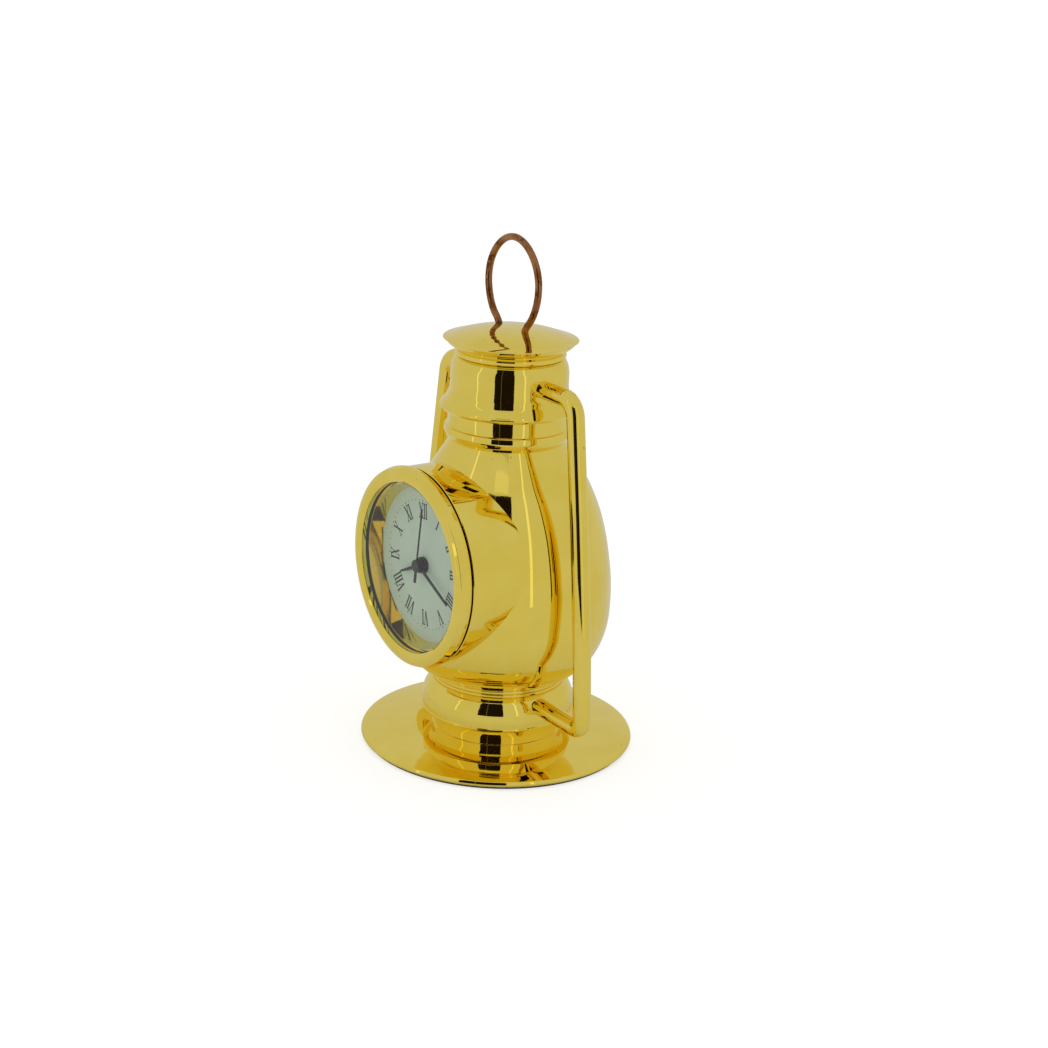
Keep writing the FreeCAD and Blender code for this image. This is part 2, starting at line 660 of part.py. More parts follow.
def second_hand():
    solid = hand(SECOND_L, SECOND_W, SECOND_TIP_W, SECOND_Y, (SECOND_HUB_R, HUB_BACK), SECOND_ANGLE)
    tail = face_box(-TAIL_W / 2.0, TAIL_W / 2.0, -SECOND_TAIL, 0, SECOND_Y - HAND_T, SECOND_Y)
    solid = solid.fuse(clock_turn(tail, SECOND_ANGLE))
    return solid.fuse(face_disc(SECOND_HUB_R, SECOND_Y - 2 * HAND_T, SECOND_Y))


def hour_wheel(phase):
    module = MINUTE_DIST * 2.0 / (MINUTE_PINION_TEETH + HOUR_WHEEL_TEETH)
    wheel = gear(HOUR_WHEEL_TEETH, module, (0, 0), phase, HOUR_GEAR_Y, HOUR_GEAR_Y + GEAR_T)
    pipe = face_disc(HOUR_PIPE_OUT_R, HOUR_Y - HAND_T, HOUR_GEAR_Y + GEAR_T)
    return wheel.fuse(pipe).cut(face_disc(CANNON_OUT_R + FIT, -17, -12))


def minute_wheel(at, wheel_phase, pinion_phase):
    wheel_module = MINUTE_DIST * 2.0 / (CANNON_TEETH + MINUTE_WHEEL_TEETH)
    pinion_module = MINUTE_DIST * 2.0 / (MINUTE_PINION_TEETH + HOUR_WHEEL_TEETH)
    wheel = gear(MINUTE_WHEEL_TEETH, wheel_module, at, wheel_phase, MINUTE_GEAR_Y, MINUTE_GEAR_Y + GEAR_T)
    pinion = gear(MINUTE_PINION_TEETH, pinion_module, at, pinion_phase, HOUR_GEAR_Y, MINUTE_GEAR_Y)
    return wheel.fuse(pinion).cut(face_disc(POST_R + FIT, -15, -12, at[0], at[1]))


def center_wheel(wheel_phase, cannon_phase):
    wheel_module = THIRD_DIST * 2.0 / (THIRD_PINION_TEETH + CENTER_WHEEL_TEETH)
    cannon_module = MINUTE_DIST * 2.0 / (CANNON_TEETH + MINUTE_WHEEL_TEETH)
    wheel = gear(CENTER_WHEEL_TEETH, wheel_module, (0, 0), wheel_phase, CENTER_GEAR_Y, CENTER_GEAR_Y + GEAR_T)
    cannon = gear(CANNON_TEETH, cannon_module, (0, 0), cannon_phase, MINUTE_GEAR_Y, MINUTE_GEAR_Y + GEAR_T)
    tube = face_disc(CANNON_OUT_R, MINUTE_Y - HAND_T, CENTER_GEAR_Y + GEAR_T)
    return wheel.fuse(tube).fuse(cannon).cut(face_disc(SECOND_ARBOR_R + FIT, -17, -10))


def third_wheel(at, wheel_phase, pinion_phase):
    wheel_module = THIRD_DIST * 2.0 / (SECOND_PINION_TEETH + THIRD_WHEEL_TEETH)
    pinion_module = THIRD_DIST * 2.0 / (THIRD_PINION_TEETH + CENTER_WHEEL_TEETH)
    wheel = gear(THIRD_WHEEL_TEETH, wheel_module, at, wheel_phase, THIRD_GEAR_Y, THIRD_GEAR_Y + GEAR_T)
    pinion = gear(THIRD_PINION_TEETH, pinion_module, at, pinion_phase, CENTER_GEAR_Y, THIRD_GEAR_Y)
    arbor = face_disc(PIVOT_R, PLATE_FRONT_Y + PIVOT_SHORT, BRIDGE_BACK_Y - PIVOT_SHORT, at[0], at[1])
    return wheel.fuse(pinion).fuse(arbor)


def second_wheel(wheel_phase, pinion_phase):
    wheel_module = MID_DIST * 2.0 / (MID_PINION_TEETH + SECOND_WHEEL_TEETH)
    pinion_module = THIRD_DIST * 2.0 / (SECOND_PINION_TEETH + THIRD_WHEEL_TEETH)
    wheel = gear(SECOND_WHEEL_TEETH, wheel_module, (0, 0), wheel_phase, SECOND_GEAR_Y, SECOND_GEAR_Y + GEAR_T)
    pinion = gear(SECOND_PINION_TEETH, pinion_module, (0, 0), pinion_phase, THIRD_GEAR_Y, SECOND_GEAR_Y)
    arbor = face_disc(SECOND_ARBOR_R, SECOND_Y + HUB_BACK, BRIDGE_FRONT_Y - END_SHAKE)
    pivot = face_disc(PIVOT_R, BRIDGE_FRONT_Y - END_SHAKE, BRIDGE_BACK_Y - PIVOT_SHORT)
    return wheel.fuse(pinion).fuse(arbor).fuse(pivot)


def mid_wheel(at, wheel_phase, pinion_phase):
    wheel_module = ROTOR_DIST * 2.0 / (ROTOR_TEETH + MID_WHEEL_TEETH)
    pinion_module = MID_DIST * 2.0 / (MID_PINION_TEETH + SECOND_WHEEL_TEETH)
    wheel = gear(MID_WHEEL_TEETH, wheel_module, at, wheel_phase, MID_GEAR_Y, MID_GEAR_Y + GEAR_T)
    pinion = gear(MID_PINION_TEETH, pinion_module, at, pinion_phase, SECOND_GEAR_Y, MID_GEAR_Y)
    arbor = face_disc(PIVOT_R, PLATE_FRONT_Y + PIVOT_SHORT, BRIDGE_BACK_Y - PIVOT_SHORT, at[0], at[1])
    return wheel.fuse(pinion).fuse(arbor)


def rotor(at, phase):
    module = ROTOR_DIST * 2.0 / (ROTOR_TEETH + MID_WHEEL_TEETH)
    pinion = gear(ROTOR_TEETH, module, at, phase, MID_GEAR_Y, MID_GEAR_Y + GEAR_T)
    magnet = face_disc(MAGNET_R, STATOR_FRONT_Y, STATOR_BACK_Y, at[0], at[1])
    arbor = face_disc(PIVOT_R, PLATE_FRONT_Y + PIVOT_SHORT, BRIDGE_BACK_Y - PIVOT_SHORT, at[0], at[1])
    return pinion.fuse(magnet).fuse(arbor)


def main_plate(pivots, minute_at, stem_at):
    solid = face_disc(HOLDER_IN_R, PLATE_FRONT_Y, PLATE_BACK_Y)
    solid = solid.cut(face_disc(CANNON_OUT_R + FIT, -14, -11))
    for at in pivots:
        solid = solid.cut(face_disc(PIVOT_R + FIT, -14, -11, at[0], at[1]))
    solid = solid.cut(face_disc(STEM_R + FIT, -14, -11, stem_at[0], stem_at[1]))
    post = face_disc(POST_R, HOUR_GEAR_Y - PIVOT_SHORT, PLATE_FRONT_Y, minute_at[0], minute_at[1])
    return solid.fuse(post)


def pillars():
    posts = [face_disc(PILLAR_R, PLATE_BACK_Y, BRIDGE_FRONT_Y, x, z) for x, z in PILLARS]
    return Part.makeCompound(posts)


def train_bridge(pivots):
    solid = face_disc(BRIDGE_R, BRIDGE_FRONT_Y, BRIDGE_BACK_Y)
    solid = solid.cut(face_box(-12, 12, -12, BRIDGE_CUT_Z, -10, -7))
    for at in pivots + [(0, 0)]:
        solid = solid.cut(face_disc(PIVOT_R + FIT, -10, -7, at[0], at[1]))
    return solid


def stator(rotor_at):
    z = rotor_at[1]
    bar = face_box(-CORE_HALF, CORE_HALF, z - STATOR_HALF_W, z + STATOR_HALF_W, STATOR_FRONT_Y, STATOR_BACK_Y)
    boss = face_disc(STATOR_BOSS_R, STATOR_FRONT_Y, STATOR_BACK_Y, rotor_at[0], z)
    solid = bar.fuse(boss).cut(face_box(-12, 12, -12, COIL_AT_Z + COIL_R + 0.1, -11, -7))
    for side in (-1, 1):
        half = STATOR_LEG_W / 2.0
        x = side * (CORE_HALF - half)
        leg = face_box(x - half, x + half, COIL_AT_Z + CORE_HALF_W, z, STATOR_FRONT_Y, STATOR_BACK_Y)
        solid = solid.fuse(leg)
    return solid.cut(face_disc(ROTOR_HOLE_R, -11, -7, rotor_at[0], z))


def coil_core():
    low = COIL_AT_Z - CORE_HALF_W
    return face_box(-CORE_HALF, CORE_HALF, low, low + 2 * CORE_HALF_W, STATOR_FRONT_Y, STATOR_BACK_Y)


def coil():
    mid_y = (STATOR_FRONT_Y + STATOR_BACK_Y) / 2.0
    solid = Part.makeCylinder(COIL_R, 2 * COIL_HALF, V(-COIL_HALF, mid_y, AXIS_Z + COIL_AT_Z), V(1, 0, 0))
    return solid.cut(coil_core())


def circuit_board(stem_at):
    solid = face_disc(BOARD_R, BOARD_FRONT_Y, BOARD_BACK_Y)
    solid = solid.cut(face_box(-12, 12, -12, COIL_AT_Z + COIL_R + 0.3, -10, -6))
    solid = solid.cut(face_disc(CELL_R + 0.3, -10, -6, CELL_AT[0], CELL_AT[1]))
    return solid.cut(face_disc(STEM_R + 0.4, -10, -6, stem_at[0], stem_at[1]))


def board_chip():
    return face_disc(CHIP_R, BOARD_BACK_Y, BOARD_BACK_Y + CHIP_T, CHIP_AT[0], CHIP_AT[1])


def quartz_can():
    x, z = CRYSTAL_AT
    y = BOARD_BACK_Y + CRYSTAL_R + 0.05
    top = AXIS_Z + z + CRYSTAL_L
    can = rod(V(x, y, AXIS_Z + z), V(x, y, top), CRYSTAL_R)
    pin = rod(V(x, y, top), V(x, y, top + 0.8), CRYSTAL_PIN_R)
    foot = rod(V(x, BOARD_BACK_Y, top + 0.5), V(x, y, top + 0.5), CRYSTAL_FOOT_R)
    return can.fuse(pin).fuse(foot)


def button_cell():
    x, z = CELL_AT
    step_y = CELL_FRONT_Y + CELL_STEP
    body = face_disc(CELL_R, step_y, CELL_BACK_Y, x, z)
    return body.fuse(face_disc(CELL_CAP_R, CELL_FRONT_Y, step_y, x, z))


def cell_contact():
    x, z = CELL_AT
    return face_box(x - 2.2, x + 1.0, z - CONTACT_HALF_W, z + CONTACT_HALF_W, BRIDGE_BACK_Y, CELL_FRONT_Y)


def cell_clip():
    x, z = CELL_AT
    low = z - CLIP_HALF_W
    high = z + CLIP_HALF_W
    start = x - CLIP_REACH
    strap = face_box(start, x + CELL_R - 0.2, low, high, CELL_BACK_Y, CELL_BACK_Y + CLIP_T)
    leg = face_box(start, start + CLIP_T, low, high, BOARD_BACK_Y, CELL_BACK_Y)
    return strap.fuse(leg)


def movement_holder():
    solid = face_ring(HOLDER_OUT_R, HOLDER_IN_R, DIAL_FRONT_Y + DIAL_T, HOLDER_BACK_Y)
    y = DIAL_FRONT_Y + DIAL_T
    for side in (-1, 1):
        hole = face_disc(DIAL_FOOT_R, y - 1, y + DIAL_FOOT_L, side * DIAL_FOOT_RING)
        solid = solid.cut(clock_turn(hole, DIAL_TURN))
    return solid


def setting_stem(at, phase):
    module = SETTING_DIST * 2.0 / (SETTING_TEETH + MINUTE_WHEEL_TEETH)
    wheel = gear(SETTING_TEETH, module, at, phase, MINUTE_GEAR_Y, MINUTE_GEAR_Y + GEAR_T)
    return wheel.fuse(face_disc(STEM_R, MINUTE_GEAR_Y, STEM_END_Y, at[0], at[1]))


def setting_knob(at):
    solid = face_disc(KNOB_R, KNOB_FRONT_Y, KNOB_BACK_Y, at[0], at[1])
    for i in range(KNOB_FLUTES):
        x, z = polar(KNOB_R, i * 360.0 / KNOB_FLUTES)
        solid = solid.cut(face_disc(KNOB_FLUTE_R, KNOB_FRONT_Y - 1, KNOB_BACK_Y + 1, at[0] + x, at[1] + z))
    return solid.cut(face_disc(STEM_R, KNOB_FRONT_Y - 1, STEM_END_Y, at[0], at[1]))


third_at = polar(THIRD_DIST, THIRD_DIR)
mid_at = polar(MID_DIST, MID_DIR)
rotor_step = polar(ROTOR_DIST, ROTOR_DIR)
rotor_at = (mid_at[0] + rotor_step[0], mid_at[1] + rotor_step[1])
minute_at = polar(MINUTE_DIST, MINUTE_DIR)
setting_step = polar(SETTING_DIST, MINUTE_DIR)
setting_at = (minute_at[0] + setting_step[0], minute_at[1] + setting_step[1])
pivots = [third_at, mid_at, rotor_at]

third_pinion_phase = mate_phase(THIRD_PINION_TEETH, THIRD_DIR, CENTER_WHEEL_TEETH, 0)
third_wheel_phase = mate_phase(THIRD_WHEEL_TEETH, THIRD_DIR, SECOND_PINION_TEETH, 0)
mid_pinion_phase = mate_phase(MID_PINION_TEETH, MID_DIR, SECOND_WHEEL_TEETH, 0)
rotor_phase = mate_phase(ROTOR_TEETH, ROTOR_DIR, MID_WHEEL_TEETH, 0)
minute_wheel_phase = mate_phase(MINUTE_WHEEL_TEETH, MINUTE_DIR, CANNON_TEETH, 0)
minute_pinion_phase = mate_phase(MINUTE_PINION_TEETH, MINUTE_DIR, HOUR_WHEEL_TEETH, 0)
setting_phase = mate_phase(SETTING_TEETH, MINUTE_DIR, MINUTE_WHEEL_TEETH, minute_wheel_phase)

save("felt_pad", felt_pad())
save("base_plate", base_plate())
save("foot_ring", foot_ring())
save("tank", tank())
save("lower_collar", lower_collar())
save("globe_body", globe_body())
save("upper_collar", upper_collar())
save("chimney_band", chimney_band())
save("neck", neck())
save("cap", cap())
save("bail_ring", bail_ring())
save("side_tube_right", side_tube(1))
save("side_tube_left", side_tube(-1))
save("tie_screw", tie_screw())
save("tie_washers", tie_washers())
save("tie_nut", tie_nut())
save("bezel", bezel())
save("glass", glass())
save("glass_gasket", glass_gasket())
save("insert_can", insert_can())
save("back_cover", back_cover(setting_at))
save("grip_band", grip_band())
save("rehaut", rehaut())
save("dial", dial())
save("dial_print", dial_print())
save("movement_holder", movement_holder())
save("main_plate", main_plate(pivots, minute_at, setting_at))
save("pillars", pillars())
save("train_bridge", train_bridge(pivots))
save("stator", stator(rotor_at))
save("coil_core", coil_core())
save("coil", coil())
save("circuit_board", circuit_board(setting_at))
save("board_chip", board_chip())
save("quartz_can", quartz_can())
save("button_cell", button_cell())
save("cell_contact", cell_contact())
save("cell_clip", cell_clip())
save("hour_hand", hour_hand())
save("hour_wheel", hour_wheel(0))
save("minute_hand", minute_hand())
save("center_wheel", center_wheel(0, 0))
save("minute_wheel", minute_wheel(minute_at, minute_wheel_phase, minute_pinion_phase))
save("second_hand", second_hand())
save("second_wheel", second_wheel(0, 0))
save("third_wheel", third_wheel(third_at, third_wheel_phase, third_pinion_phase))
save("mid_wheel", mid_wheel(mid_at, 0, mid_pinion_phase))
save("rotor", rotor(rotor_at, rotor_phase))
save("setting_stem", setting_stem(setting_at, setting_phase))
save("setting_knob", setting_knob(setting_at))
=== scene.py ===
import json
import math

import bmesh
import bpy
from mathutils import Matrix, Vector


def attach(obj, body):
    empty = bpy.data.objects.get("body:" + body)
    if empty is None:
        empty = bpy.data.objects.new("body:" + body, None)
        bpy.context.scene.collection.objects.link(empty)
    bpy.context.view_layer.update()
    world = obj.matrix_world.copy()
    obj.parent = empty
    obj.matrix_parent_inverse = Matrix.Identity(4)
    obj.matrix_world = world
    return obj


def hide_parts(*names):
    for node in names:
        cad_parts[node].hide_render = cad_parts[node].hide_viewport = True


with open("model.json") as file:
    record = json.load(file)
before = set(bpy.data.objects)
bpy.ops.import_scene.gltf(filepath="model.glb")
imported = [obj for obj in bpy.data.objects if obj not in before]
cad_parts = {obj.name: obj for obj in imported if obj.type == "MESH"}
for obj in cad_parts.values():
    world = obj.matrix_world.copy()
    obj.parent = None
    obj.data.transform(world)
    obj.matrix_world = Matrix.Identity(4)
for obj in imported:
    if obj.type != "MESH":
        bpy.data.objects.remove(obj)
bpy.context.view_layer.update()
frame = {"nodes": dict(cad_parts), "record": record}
MM = 0.001
STEPS = 288
AXIS_Z = 31.46          # height of the dial's centre, mm
NEAR_AXIS = 0.01        # radius at which a closed turned surface ends, mm


# ---------------------------------------------------------------- materials
class Graph:
    """Small helper that builds a node material."""

    def __init__(self, name):
        self.mat = bpy.data.materials.new(name)
        self.mat.use_nodes = True
        self.tree = self.mat.node_tree
        self.shader = self.tree.nodes["Principled BSDF"]
        self.coords = self.tree.nodes.new("ShaderNodeTexCoord").outputs["Object"]

    def node(self, kind):
        return self.tree.nodes.new(kind)

    def link(self, a, b):
        self.tree.links.new(a, b)

    def noise(self, scale, detail=3.0, rough=0.5):
        """Noise value over the object, scale in features per metre."""
        tex = self.node("ShaderNodeTexNoise")
        tex.inputs["Scale"].default_value = scale
        tex.inputs["Detail"].default_value = detail
        tex.inputs["Roughness"].default_value = rough
        self.link(self.coords, tex.inputs["Vector"])
        return tex.outputs["Fac"]

    def ramp(self, fac, stops):
        """Colour ramp; stops are (position, colour or grey)."""
        ramp = self.node("ShaderNodeValToRGB")
        elements = ramp.color_ramp.elements
        while len(elements) < len(stops):
            elements.new(0.5)
        for element, (at, value) in zip(elements, stops):
            element.position = at
            rgb = (value,) * 3 if isinstance(value, (int, float)) else value
            element.color = (*rgb, 1.0)
        self.link(fac, ramp.inputs["Fac"])
        return ramp.outputs["Color"]

    def bump(self, heights, strength):
        """Chains bump maps; heights is a list of (value socket, distance in metres)."""
        last = None
        for fac, distance in heights:
            bump = self.node("ShaderNodeBump")
            bump.inputs["Strength"].default_value = strength
            bump.inputs["Distance"].default_value = distance
            self.link(fac, bump.inputs["Height"])
            if last is not None:
                self.link(last, bump.inputs["Normal"])
            last = bump.outputs["Normal"]
        self.link(last, self.shader.inputs["Normal"])


def metal(name, low, high, rough=(0.02, 0.07), wave=(55.0, 2.2e-5), grain=(1500.0, 5e-7), spots=None,
          stain_scale=160.0):
    """Polished or plated metal: two tones, smudged roughness, slow waves and fine grain."""
    g = Graph(name)
    g.shader.inputs["Metallic"].default_value = 1.0
    tone = g.ramp(g.noise(stain_scale, 4.0), [(0.35, low), (0.65, high)])
    if spots:
        fine = g.noise(spots[0], 2.0, 0.6)
        mask = g.ramp(fine, [(spots[1], 0.0), (spots[1] + 0.04, 1.0)])
        mix = g.node("ShaderNodeMix")
        mix.data_type = "RGBA"
        g.link(mask, mix.inputs["Factor"])
        g.link(tone, mix.inputs["A"])
        dark = g.ramp(g.noise(300.0), [(0.3, spots[2]), (0.7, spots[3])])
        g.link(dark, mix.inputs["B"])
        tone = mix.outputs["Result"]
    g.link(tone, g.shader.inputs["Base Color"])
    smudges = g.ramp(g.noise(420.0, 5.0, 0.65), [(0.35, rough[0]), (0.72, rough[1])])
    g.link(smudges, g.shader.inputs["Roughness"])
    g.bump([(g.noise(wave[0], 1.5, 0.4), wave[1]), (g.noise(grain[0], 3.0), grain[1])], 1.0)
    return g.mat


def plain(name, low, high, rough, scale=500.0, bump=(900.0, 4e-6), metallic=0.0):
    """Non-mirror material with mottled colour, uneven roughness and a fine surface."""
    g = Graph(name)
    g.shader.inputs["Metallic"].default_value = metallic
    g.link(g.ramp(g.noise(scale, 4.0), [(0.3, low), (0.7, high)]), g.shader.inputs["Base Color"])
    uneven = g.ramp(g.noise(scale * 1.7, 3.0), [(0.3, rough[0]), (0.7, rough[1])])
    g.link(uneven, g.shader.inputs["Roughness"])
    g.bump([(g.noise(bump[0], 4.0), bump[1])], 1.0)
    return g.mat


def lens_material():
    """Clear flat glass: see-through, more mirror-like at a slant, with faint smears."""
    g = Graph("lens_glass")
    clear = g.node("ShaderNodeBsdfTransparent")
    tint = g.ramp(g.noise(90.0), [(0.2, (0.955, 0.985, 0.97)), (0.8, (0.98, 1.0, 0.99))])
    g.link(tint, clear.inputs["Color"])
    gloss = g.node("ShaderNodeBsdfGlossy")
    g.link(g.ramp(g.noise(600.0, 4.0), [(0.5, 0.0), (0.8, 0.06)]), gloss.inputs["Roughness"])
    slant = g.node("ShaderNodeLayerWeight")
    slant.inputs["Blend"].default_value = 0.5
    mix = g.node("ShaderNodeMixShader")
    mirror = [(0.0, 0.045), (0.45, 0.07), (0.7, 0.17), (0.86, 0.42), (1.0, 1.0)]
    g.link(g.ramp(slant.outputs["Facing"], mirror), mix.inputs[0])
    g.link(clear.outputs["BSDF"], mix.inputs[1])
    g.link(gloss.outputs["BSDF"], mix.inputs[2])
    bump = g.node("ShaderNodeBump")
    bump.inputs["Distance"].default_value = 1e-6
    g.link(g.noise(60.0, 1.0), bump.inputs["Height"])
    g.link(bump.outputs["Normal"], gloss.inputs["Normal"])
    g.tree.nodes.remove(g.shader)
    out = g.tree.nodes["Material Output"]
    g.link(mix.outputs["Shader"], out.inputs["Surface"])
    return g.mat


def felt_material():
    """Black felt: very rough, with a fuzzy surface."""
    g = Graph("felt_black")
    g.link(g.ramp(g.noise(1800.0, 6.0, 0.7), [(0.3, 0.006), (0.7, 0.035)]), g.shader.inputs["Base Color"])
    g.link(g.ramp(g.noise(900.0, 3.0), [(0.3, 0.85), (0.7, 1.0)]), g.shader.inputs["Roughness"])
    g.shader.inputs["Sheen Weight"].default_value = 0.3
    g.bump([(g.noise(2600.0, 5.0, 0.75), 8e-5)], 1.0)
    return g.mat


# Spots: noise scale, threshold and the two tones of the marks.
GOLD_SPOTS = (900.0, 0.735, (0.42, 0.30, 0.05), (0.62, 0.48, 0.12))
WIRE_SPOTS = (500.0, 0.58, (0.10, 0.035, 0.012), (0.20, 0.09, 0.03))
gold = metal("gold_polish", (0.93, 0.725, 0.115), (0.965, 0.765, 0.15), spots=GOLD_SPOTS)
satin = metal("rehaut_satin", (0.88, 0.66, 0.12), (0.93, 0.73, 0.17), rough=(0.04, 0.08),
              grain=(2600.0, 6e-7))
wire = metal("bail_tarnish", (0.24, 0.082, 0.022), (0.43, 0.20, 0.075), rough=(0.16, 0.40),
             wave=(700.0, 2.0e-5), grain=(3000.0, 3e-6), spots=WIRE_SPOTS, stain_scale=450.0)
steel = metal("steel_bright", (0.52, 0.52, 0.53), (0.66, 0.66, 0.66), rough=(0.18, 0.38))
plate = metal("nickel_plate", (0.66, 0.66, 0.64), (0.78, 0.78, 0.75), rough=(0.10, 0.28))
train = metal("train_brass", (0.70, 0.52, 0.22), (0.82, 0.64, 0.30), rough=(0.18, 0.36))
magnet = metal("magnet_dark", (0.16, 0.16, 0.17), (0.30, 0.30, 0.31), rough=(0.3, 0.5))
copper = metal("copper_coil", (0.60, 0.20, 0.08), (0.80, 0.34, 0.15), rough=(0.2, 0.4),
               grain=(2500.0, 2e-5))
felt = felt_material()
lens = lens_material()
dial_paint = plain("dial_paint", (0.635, 0.755, 0.60), (0.70, 0.82, 0.665), (0.38, 0.52), 240.0,
                   (1600.0, 1.5e-6))
ink = plain("dial_ink", (0.006, 0.006, 0.006), (0.02, 0.02, 0.018), (0.4, 0.6))
dot_ink = plain("dot_ink", (0.10, 0.10, 0.09), (0.20, 0.19, 0.17), (0.4, 0.6))
hand_black = plain("hand_black", (0.004, 0.004, 0.004), (0.014, 0.014, 0.013), (0.22, 0.4))
rubber = plain("rubber_black", (0.012, 0.012, 0.012), (0.03, 0.03, 0.03), (0.6, 0.8))
cover_plastic = plain("cover_plastic", (0.018, 0.018, 0.018), (0.035, 0.035, 0.035), (0.4, 0.55), 900.0,
                      (2200.0, 1.2e-5))
holder_plastic = plain("holder_plastic", (0.66, 0.66, 0.62), (0.74, 0.74, 0.70), (0.4, 0.55))
gear_plastic = plain("gear_plastic", (0.72, 0.68, 0.56), (0.82, 0.78, 0.66), (0.25, 0.4))
glass_edge = plain("glass_edge", (0.10, 0.15, 0.05), (0.18, 0.24, 0.09), (0.15, 0.3))
board = plain("board_green", (0.015, 0.10, 0.04), (0.03, 0.17, 0.075), (0.25, 0.4), 1400.0,
              (1100.0, 1.5e-5))
epoxy = plain("epoxy_black", (0.008, 0.008, 0.008), (0.02, 0.02, 0.02), (0.15, 0.3))

BY_SLOT = {"gold": gold, "felt": felt, "bail_wire": wire, "steel": steel, "lens": lens, "rubber": rubber,
           "plated_can": plate, "cover_plastic": cover_plastic, "dial_face": dial_paint, "dial_ink": ink,
           "hand_black": hand_black, "holder_plastic": holder_plastic, "train_brass": train,
           "gear_plastic": gear_plastic, "magnet": magnet, "copper_wire": copper, "board": board,
           "epoxy": epoxy}

# Carried-over CAD nodes take the material of their slot.
for entry in frame["record"]["subparts"]:
    node = frame["nodes"][entry["node"]]
    node.data.materials.clear()
    node.data.materials.append(BY_SLOT[entry["material_slot"]])


# ---------------------------------------------------------------- geometry helpers
def rounded(corners, arc_steps):
    """Run along straight lines with filleted corners: (a, b, fillet) in mm -> [(a, b, na, nb)]."""
    pts = [Vector((c[0], c[1])) for c in corners]
    fillets = [c[2] if len(c) > 2 else 0.0 for c in corners]
    run = []

    def side(d):
        return Vector((d.y, -d.x))

    for i in range(len(pts)):
        if i == 0 or i == len(pts) - 1:
            d = (pts[1] - pts[0]) if i == 0 else (pts[-1] - pts[-2])
            n = side(d.normalized())
            run.append((*pts[i], *n))
            continue
        din = (pts[i] - pts[i - 1]).normalized()
        dout = (pts[i + 1] - pts[i]).normalized()
        turn = math.acos(max(-1.0, min(1.0, din.dot(dout))))
        back = fillets[i] * math.tan(turn / 2.0)
        start = pts[i] - din * back
        end = pts[i] + dout * back
        n0, n1 = side(din), side(dout)
        steps = max(2, int(arc_steps * turn)) + 1
        for k in range(steps + 1):
            t = k / steps
            # The fillet is the quadratic curve that touches both lines.
            p = start * (1 - t) ** 2 + pts[i] * 2 * t * (1 - t) + end * t * t
            tangent = (pts[i] - start) * (1 - t) + (end - pts[i]) * t
            if tangent.length > 1e-9:
                n = side(tangent.normalized())
            else:
                n = (n0 * (1 - t) + n1 * t).normalized()
            run.append((*p, *n))
    return run


def curved(points, per):
    """Smooth run through points (Catmull-Rom) with normals: (a, b) in mm -> [(a, b, na, nb)]."""
    pts = [Vector(p) for p in points]
    pts = [pts[0] * 2 - pts[1]] + pts + [pts[-1] * 2 - pts[-2]]
    run = []
    for i in range(1, len(pts) - 2):
        p0, p1, p2, p3 = pts[i - 1:i + 3]
        count = per + 1 if i == len(pts) - 3 else per
        for k in range(count):
            t = k / per
            p = 0.5 * ((2 * p1) + (p2 - p0) * t + (2 * p0 - 5 * p1 + 4 * p2 - p3) * t ** 2
                       + (3 * p1 - p0 - 3 * p2 + p3) * t ** 3)
            d = 0.5 * ((p2 - p0) + 2 * (2 * p0 - 5 * p1 + 4 * p2 - p3) * t
                       + 3 * (3 * p1 - p0 - 3 * p2 + p3) * t ** 2)
            d.normalize()
            run.append((p.x, p.y, d.y, -d.x))
    return run


def turned_arrays(runs, steps=STEPS):
    """Vertices, normals and faces (mm) of runs turned about Z."""
    verts, normals, faces = [], [], []
    for run in runs:
        first = len(verts)
        for a, b, na, nb in run:
            for s in range(steps):
                t = 2 * math.pi * s / steps
                c, w = math.cos(t), math.sin(t)
                verts.append((a * c, a * w, b))
                normals.append((na * c, na * w, nb))
        for i in range(len(run) - 1):
            for s in range(steps):
                q = (s + 1) % steps
                faces.append((first + i * steps + s, first + i * steps + q,
                              first + (i + 1) * steps + q, first + (i + 1) * steps + s))
    return verts, normals, faces


def to_dial_axis(vectors, offset=True):
    """Z axis of a turned shape -> world Y through the dial centre."""
    rise = AXIS_Z if offset else 0.0
    return [(x, z, rise - y) for x, y, z in vectors]


def build(name, verts, normals, faces, material, body, nodes):
    """Mesh piece in the row frame from mm arrays; it rides on a CAD body and stands for CAD nodes."""
    mesh = bpy.data.meshes.new(name)
    mesh.from_pydata([(x * MM, y * MM, z * MM) for x, y, z in verts], [], faces)
    mesh.validate(clean_customdata=False)
    for polygon in mesh.polygons:
        polygon.use_smooth = True
    if normals:
        mesh.normals_split_custom_set_from_vertices([Vector(n).normalized() for n in normals])
    mesh.update()
    obj = bpy.data.objects.new(name, mesh)
    bpy.context.collection.objects.link(obj)
    mesh.materials.append(material)
    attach(obj, body)
    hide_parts(*nodes)
    return obj


def turned(name, runs, material, body, nodes, about_dial=False, steps=STEPS):
    """Turned piece about Z, or about the dial's axis."""
    verts, normals, faces = turned_arrays(runs, steps)
    if about_dial:
        verts = to_dial_axis(verts)
        normals = to_dial_axis(normals, False)
    build(name, verts, normals, faces, material, body, nodes)


def swept(path, radius, steps):
    """Round bar along a planar path in XZ: path is [(x, z, tx, tz)] in mm."""
    verts, normals, faces = [], [], []
    for x, z, tx, tz in path:
        for s in range(steps):
            t = 2 * math.pi * s / steps
            n = (math.cos(t) * -tz, math.sin(t), math.cos(t) * tx)
            verts.append((x + n[0] * radius, n[1] * radius, z + n[2] * radius))
            normals.append(n)
    for i in range(len(path) - 1):
        for s in range(steps):
            q = (s + 1) % steps
            faces.append((i * steps + q, i * steps + s, (i + 1) * steps + s, (i + 1) * steps + q))
    return verts, normals, faces


